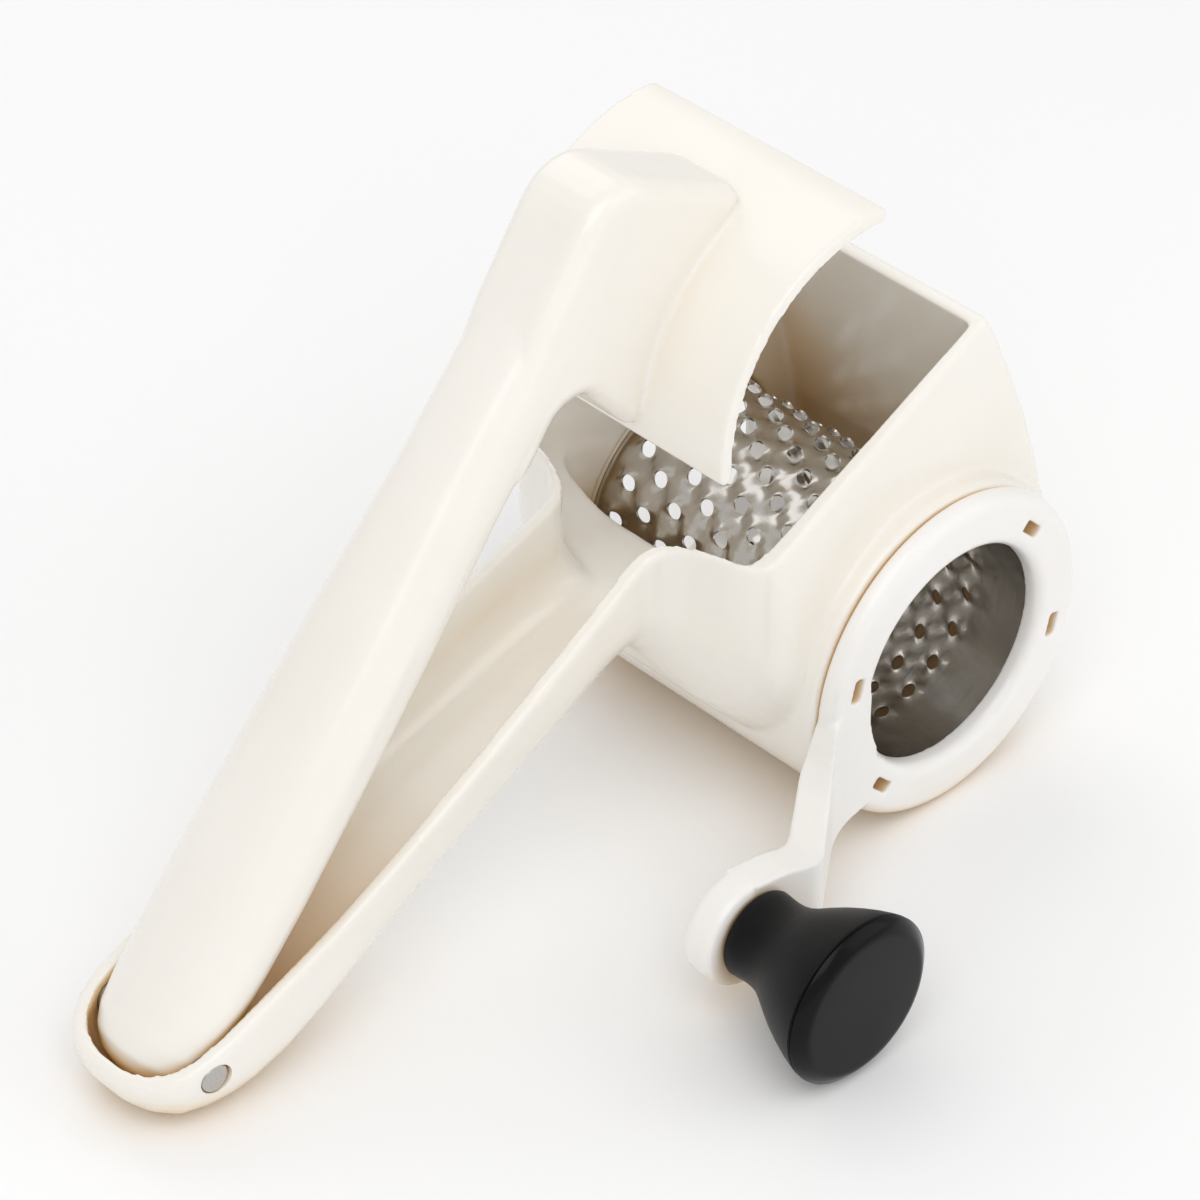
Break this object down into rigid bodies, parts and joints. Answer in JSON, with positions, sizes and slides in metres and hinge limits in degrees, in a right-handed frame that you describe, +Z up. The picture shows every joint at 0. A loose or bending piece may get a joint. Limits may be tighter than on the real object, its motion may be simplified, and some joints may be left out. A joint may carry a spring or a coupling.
{
  "type": "rotary cheese grater",
  "caption": "Hand-held rotary cheese grater with a hinged press lever over a hopper, a perforated steel drum turned by a ring crank, and a spinning knob.",
  "frame": {"origin": "middle of the footprint, on the surface that the grater stands on", "axes": "+X from the pivot end of the handles towards the drum, +Y along the drum's axis away from the crank, +Z up from the surface"},
  "size_m": [0.2128, 0.128, 0.1502],
  "materials": {
    "body_plastic": "glossy moulded ABS, ivory",
    "crank_plastic": "moulded ABS, warm white",
    "drum_plastic": "moulded ABS, ivory",
    "drum_steel": "polished stainless sheet",
    "pin_steel": "turned steel",
    "knob_plastic": "fine-textured black",
    "cap_plastic": "glossy black"
  },
  "bodies": {
    "housing": {"body": "body_plastic", "pivot_pin": "pin_steel"},
    "press_lever": {"lever": "body_plastic"},
    "drum_and_crank": {"crank": "crank_plastic", "drum_sheet": "drum_steel", "drum_hub": "drum_plastic", "drum_end_ring": "drum_plastic", "knob_axle": "pin_steel"},
    "crank_knob": {"knob": "knob_plastic", "knob_cap": "cap_plastic"}
  },
  "joints": [
    {"name": "lever_hinge", "type": "hinge", "parent": "housing", "child": "press_lever", "pos_m": [-0.0929, 0.024, 0.0125], "axis": [0, -1, 0], "range_deg": [-22, 55]},
    {"name": "crank_spin", "type": "hinge", "parent": "housing", "child": "drum_and_crank", "pos_m": [0.0711, 0.024, 0.035], "axis": [0, -1, 0], "continuous": true},
    {"name": "knob_spin", "type": "hinge", "parent": "drum_and_crank", "child": "crank_knob", "pos_m": [0.00118, -0.036, 0.0178], "axis": [0, -1, 0], "continuous": true}
  ]
}
